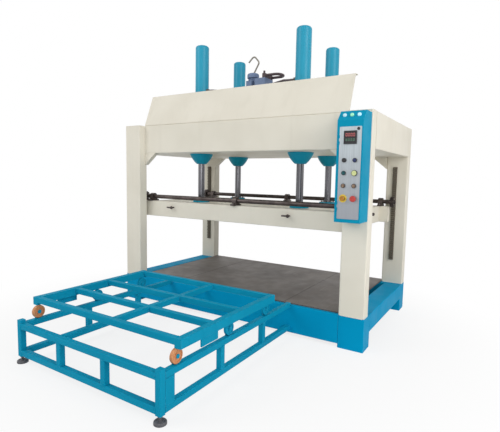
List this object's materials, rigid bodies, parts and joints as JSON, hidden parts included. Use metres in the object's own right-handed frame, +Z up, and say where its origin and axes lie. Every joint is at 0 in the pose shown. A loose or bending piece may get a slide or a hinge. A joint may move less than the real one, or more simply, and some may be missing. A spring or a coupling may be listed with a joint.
{
  "type": "hydraulic press",
  "caption": "Upright hydraulic cold press for boards: floor frame, columns, head with cylinders, sliding platen kept level by racks and shafts, control box and a roller in-feed stand.",
  "frame": {"origin": "on the floor, under the middle of the whole machine with its in-feed stand", "axes": "+Z up, +X to the right as the operator faces the press, +Y from the in-feed stand towards the back"},
  "size_m": [3.17, 3.5979, 3.216],
  "materials": {
    "cream_paint": "semi-gloss cream enamel",
    "teal_paint": "semi-gloss teal-blue enamel",
    "cylinder_paint": "semi-gloss light teal enamel",
    "bed_steel": "dark rolled plate, worn",
    "dark_steel": "dark oiled machined steel",
    "chrome_rod": "ground and hard chromed",
    "orange_nylon": "cast orange nylon",
    "foot_rubber": "dark moulded rubber",
    "pump_paint": "blue-grey enamel",
    "pipe_dark": "dark brown coated steel tube",
    "breather_grey": "grey painted tube",
    "panel_silver": "satin silver sheet",
    "black_plastic": "black moulded plastic",
    "navy_plastic": "navy moulded plastic",
    "teal_plastic": "dark teal moulded plastic",
    "pale_green_plastic": "pale yellow-green lens",
    "red_plastic": "red moulded plastic",
    "ochre_plastic": "ochre moulded plastic",
    "yellow_plastic": "yellow printed plate",
    "key_brass": "brown worn brass",
    "lamp_lens": "clear coloured lenses"
  },
  "bodies": {
    "press_frame": {"base_frame": "teal_paint", "control_box": "teal_paint", "box_brackets": "teal_paint", "stand_frame": "teal_paint", "gland_flanges": "teal_paint", "roller_stands": "teal_paint", "bed_plate_left": "bed_steel", "bed_plate_middle": "bed_steel", "bed_plate_right": "bed_steel", "column_front_left": "cream_paint", "column_front_right": "cream_paint", "column_back_left": "cream_paint", "column_back_right": "cream_paint", "head_frame": "cream_paint", "head_deck": "cream_paint", "corner_gussets": "cream_paint", "front_cover": "cream_paint", "cylinder_front_left": "cylinder_paint", "cylinder_front_right": "cylinder_paint", "cylinder_back_left": "cylinder_paint", "cylinder_back_right": "cylinder_paint", "front_racks": "dark_steel", "back_racks": "dark_steel", "oil_tank": "pump_paint", "pump_motor": "pump_paint", "valve_block": "pump_paint", "pressure_pipes": "pipe_dark", "breather_tube": "breather_grey", "signal_lamps": "lamp_lens", "door_hinges": "panel_silver", "levelling_feet": "foot_rubber"},
    "platen": {"platen": "cream_paint", "piston_rods": "chrome_rod", "rod_flanges": "teal_paint", "shaft_bearings": "dark_steel", "caul_hooks": "dark_steel"},
    "front_shaft": {"front_shaft": "dark_steel", "front_pinions": "dark_steel"},
    "back_shaft": {"back_shaft": "dark_steel", "back_pinions": "dark_steel"},
    "loading_frame": {"loading_frame": "teal_paint"},
    "control_door": {"control_door": "panel_silver", "meter": "black_plastic", "button_bezels": "black_plastic", "stop_plate": "yellow_plastic"},
    "door_lock": {"door_lock": "black_plastic"},
    "roller_front_left": {"roller_front_left": "orange_nylon"},
    "roller_front_right": {"roller_front_right": "orange_nylon"},
    "roller_middle_left": {"roller_middle_left": "teal_paint"},
    "roller_middle_right": {"roller_middle_right": "teal_paint"},
    "roller_back_left": {"roller_back_left": "teal_paint"},
    "roller_back_right": {"roller_back_right": "teal_paint"},
    "black_button": {"black_button": "black_plastic"},
    "blue_button": {"blue_button": "navy_plastic"},
    "start_button": {"start_button": "pale_green_plastic"},
    "emergency_stop": {"emergency_stop": "ochre_plastic"},
    "stop_button": {"stop_button": "red_plastic"},
    "selector_switch": {"selector_switch": "teal_plastic"},
    "left_key_switch": {"left_key_switch": "key_brass"},
    "right_key_switch": {"right_key_switch": "key_brass"}
  },
  "joints": [
    {"name": "platen_slide", "type": "slide", "parent": "press_frame", "child": "platen", "axis": [0, 0, 1], "range_m": [-0.69, 0.4]},
    {"name": "front_shaft_spin", "type": "hinge", "parent": "platen", "child": "front_shaft", "pos_m": [0, 0.2906, 1.345], "axis": [1, 0, 0], "range_deg": [-710, 412]},
    {"name": "back_shaft_spin", "type": "hinge", "parent": "platen", "child": "back_shaft", "pos_m": [0, 1.5944, 1.345], "axis": [1, 0, 0], "range_deg": [-412, 710]},
    {"name": "loading_slide", "type": "slide", "parent": "press_frame", "child": "loading_frame", "axis": [0, 1, 0], "range_m": [-0.05, 0.5]},
    {"name": "roller_front_left_spin", "type": "hinge", "parent": "press_frame", "child": "roller_front_left", "pos_m": [-0.805, -1.60183, 0.407], "axis": [1, 0, 0], "continuous": true},
    {"name": "roller_front_right_spin", "type": "hinge", "parent": "press_frame", "child": "roller_front_right", "pos_m": [0.805, -1.60183, 0.407], "axis": [1, 0, 0], "continuous": true},
    {"name": "roller_middle_left_spin", "type": "hinge", "parent": "press_frame", "child": "roller_middle_left", "pos_m": [-0.805, -0.98078, 0.407], "axis": [1, 0, 0], "range_deg": [-530, 60]},
    {"name": "roller_middle_right_spin", "type": "hinge", "parent": "press_frame", "child": "roller_middle_right", "pos_m": [0.805, -0.98078, 0.407], "axis": [1, 0, 0], "range_deg": [-530, 60]},
    {"name": "roller_back_left_spin", "type": "hinge", "parent": "press_frame", "child": "roller_back_left", "pos_m": [-0.805, -0.38958, 0.407], "axis": [1, 0, 0], "range_deg": [-530, 60]},
    {"name": "roller_back_right_spin", "type": "hinge", "parent": "press_frame", "child": "roller_back_right", "pos_m": [0.805, -0.38958, 0.407], "axis": [1, 0, 0], "range_deg": [-530, 60]},
    {"name": "door_hinge", "type": "hinge", "parent": "press_frame", "child": "control_door", "pos_m": [1.375, -0.1674, 1.666], "axis": [0, 0, -1], "range_deg": [0, 110]},
    {"name": "lock_turn", "type": "hinge", "parent": "control_door", "child": "door_lock", "pos_m": [1.54, -0.1674, 2.042], "axis": [0, -1, 0], "range_deg": [0, 90]},
    {"name": "black_button_press", "type": "slide", "parent": "control_door", "child": "black_button", "axis": [0, 1, 0], "range_m": [0, 0.004], "stiffness_N_per_m": 400},
    {"name": "blue_button_press", "type": "slide", "parent": "control_door", "child": "blue_button", "axis": [0, 1, 0], "range_m": [0, 0.004], "stiffness_N_per_m": 400},
    {"name": "start_button_press", "type": "slide", "parent": "control_door", "child": "start_button", "axis": [0, 1, 0], "range_m": [0, 0.004], "stiffness_N_per_m": 400},
    {"name": "emergency_stop_press", "type": "slide", "parent": "control_door", "child": "emergency_stop", "axis": [0, 1, 0], "range_m": [0, 0.004], "stiffness_N_per_m": 400},
    {"name": "stop_button_press", "type": "slide", "parent": "control_door", "child": "stop_button", "axis": [0, 1, 0], "range_m": [0, 0.004], "stiffness_N_per_m": 400},
    {"name": "selector_switch_turn", "type": "hinge", "parent": "control_door", "child": "selector_switch", "pos_m": [1.4245, -0.1674, 1.6675], "axis": [0, -1, 0], "range_deg": [-45, 45]},
    {"name": "left_key_switch_turn", "type": "hinge", "parent": "control_door", "child": "left_key_switch", "pos_m": [1.4245, -0.1674, 1.558], "axis": [0, -1, 0], "range_deg": [0, 90]},
    {"name": "right_key_switch_turn", "type": "hinge", "parent": "control_door", "child": "right_key_switch", "pos_m": [1.5185, -0.1674, 1.558], "axis": [0, -1, 0], "range_deg": [0, 90]}
  ],
  "couplings": [
    {"joint": "front_shaft_spin", "follows": "platen_slide", "rad_per_m": 17.857},
    {"joint": "back_shaft_spin", "follows": "platen_slide", "rad_per_m": -17.857},
    {"joint": "roller_middle_left_spin", "follows": "loading_slide", "rad_per_m": -18.182},
    {"joint": "roller_middle_right_spin", "follows": "loading_slide", "rad_per_m": -18.182},
    {"joint": "roller_back_left_spin", "follows": "loading_slide", "rad_per_m": -18.182},
    {"joint": "roller_back_right_spin", "follows": "loading_slide", "rad_per_m": -18.182}
  ]
}
